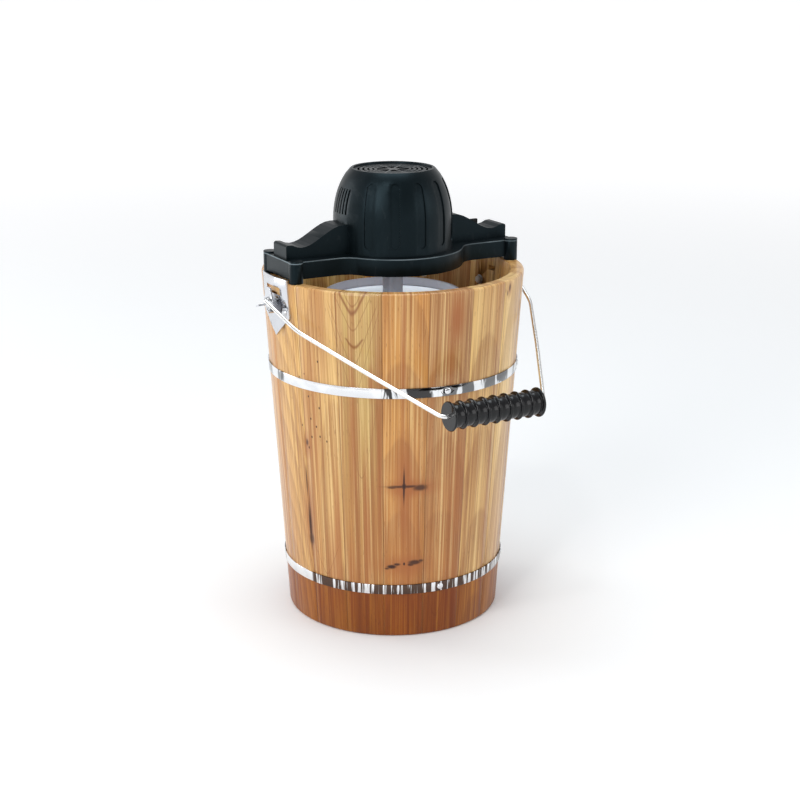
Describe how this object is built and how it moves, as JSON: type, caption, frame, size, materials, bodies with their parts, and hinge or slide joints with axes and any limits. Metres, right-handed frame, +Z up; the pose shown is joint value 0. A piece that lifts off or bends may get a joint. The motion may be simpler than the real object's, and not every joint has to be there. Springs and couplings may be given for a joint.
{
  "type": "ice cream maker",
  "caption": "Electric ice cream maker: tapered stave bucket with two chrome hoops, wire bail with ribbed grip, canister with lid and dasher, and a black geared motor unit across the rim.",
  "frame": {"origin": "centre of the bucket's base on the bucket's axis, on the surface it stands on", "axes": "+Z up along the bucket's axis; X from ear to ear along the motor unit's arms; the bail hangs towards -Y"},
  "size_m": [0.2952, 0.3495, 0.4665],
  "materials": {
    "stave_wood": "clear gloss lacquer",
    "floor_wood": "clear lacquer",
    "hoop_chrome": "bright polished",
    "tack_steel": "bright",
    "ear_chrome": "bright polished",
    "fastener_steel": "zinc plated",
    "pivot_steel": "plain",
    "canister_aluminium": "satin",
    "lid_plastic": "translucent",
    "dasher_plastic": "satin",
    "scraper_plastic": "satin",
    "bail_steel": "bright galvanised",
    "grip_plastic": "gloss",
    "housing_plastic": "satin moulded",
    "grille_plastic": "satin moulded",
    "cover_plastic": "matt moulded",
    "gland_rubber": "matt",
    "frame_steel": "zinc plated",
    "shaft_steel": "ground",
    "bearing_bronze": "sintered",
    "gear_nylon": "moulded",
    "lamination_steel": "varnished stack",
    "fan_plastic": "moulded",
    "winding_copper": "enamelled wire"
  },
  "bodies": {
    "bucket": {"stave_01": "stave_wood", "stave_02": "stave_wood", "stave_03": "stave_wood", "stave_04": "stave_wood", "stave_05": "stave_wood", "stave_06": "stave_wood", "stave_07": "stave_wood", "stave_08": "stave_wood", "stave_09": "stave_wood", "stave_10": "stave_wood", "stave_11": "stave_wood", "stave_12": "stave_wood", "stave_13": "stave_wood", "stave_14": "stave_wood", "stave_15": "stave_wood", "stave_16": "stave_wood", "stave_17": "stave_wood", "stave_18": "stave_wood", "bucket_floor": "floor_wood", "hoop_upper": "hoop_chrome", "hoop_lower": "hoop_chrome", "hoop_tacks": "tack_steel", "ear_left": "ear_chrome", "ear_right": "ear_chrome", "ear_screws": "fastener_steel", "ear_nuts": "fastener_steel", "pivot_plate": "pivot_steel", "pivot_screws": "fastener_steel"},
    "core": {"dasher": "dasher_plastic", "scraper_left": "scraper_plastic", "scraper_right": "scraper_plastic"},
    "canister": {"canister": "canister_aluminium", "canister_lid": "lid_plastic"},
    "motor_unit": {"motor_housing": "housing_plastic", "top_grille": "grille_plastic", "base_cover": "cover_plastic", "base_screws": "fastener_steel", "cord_gland": "gland_rubber", "gear_pillars": "frame_steel", "lock_plate": "frame_steel", "gear_plate": "frame_steel", "idler_axle": "shaft_steel", "output_bush": "bearing_bronze", "stator_core": "lamination_steel", "stator_coils": "winding_copper", "motor_bridge": "frame_steel", "motor_bolts": "fastener_steel", "lower_bearing": "bearing_bronze", "upper_bearing": "bearing_bronze"},
    "output": {"output_gear": "gear_nylon"},
    "idler": {"idler_gear": "gear_nylon"},
    "rotor": {"rotor_pinion": "shaft_steel", "rotor_shaft": "shaft_steel", "rotor_core": "lamination_steel", "cooling_fan": "fan_plastic"},
    "bail": {"bail_wire": "bail_steel"},
    "grip": {"bail_grip": "grip_plastic"}
  },
  "joints": [
    {"name": "core_lift", "type": "slide", "parent": "bucket", "child": "core", "axis": [0, 0, 1], "range_m": [0, 0.35]},
    {"name": "canister_spin", "type": "hinge", "parent": "core", "child": "canister", "pos_m": [0, 0, 0.1], "axis": [0, 0, 1], "continuous": true},
    {"name": "motor_lift", "type": "slide", "parent": "core", "child": "motor_unit", "axis": [0, 0, 1], "range_m": [0, 0.15]},
    {"name": "output_spin", "type": "hinge", "parent": "motor_unit", "child": "output", "pos_m": [0, 0, 0.365], "axis": [0, 0, 1], "continuous": true},
    {"name": "idler_spin", "type": "hinge", "parent": "motor_unit", "child": "idler", "pos_m": [0.0288, 0, 0.365], "axis": [0, 0, 1], "continuous": true},
    {"name": "rotor_spin", "type": "hinge", "parent": "motor_unit", "child": "rotor", "pos_m": [0, 0, 0.365], "axis": [0, 0, 1], "continuous": true},
    {"name": "bail_swing", "type": "hinge", "parent": "bucket", "child": "bail", "pos_m": [0, 0, 0.345], "axis": [-1, 0, 0], "range_deg": [0, 224]},
    {"name": "grip_spin", "type": "hinge", "parent": "bail", "child": "grip", "pos_m": [0, -0.20027, 0.26409], "axis": [1, 0, 0], "continuous": true}
  ],
  "couplings": [
    {"joint": "output_spin", "follows": "canister_spin", "ratio": 1},
    {"joint": "idler_spin", "follows": "canister_spin", "ratio": -5},
    {"joint": "rotor_spin", "follows": "canister_spin", "ratio": 25}
  ]
}
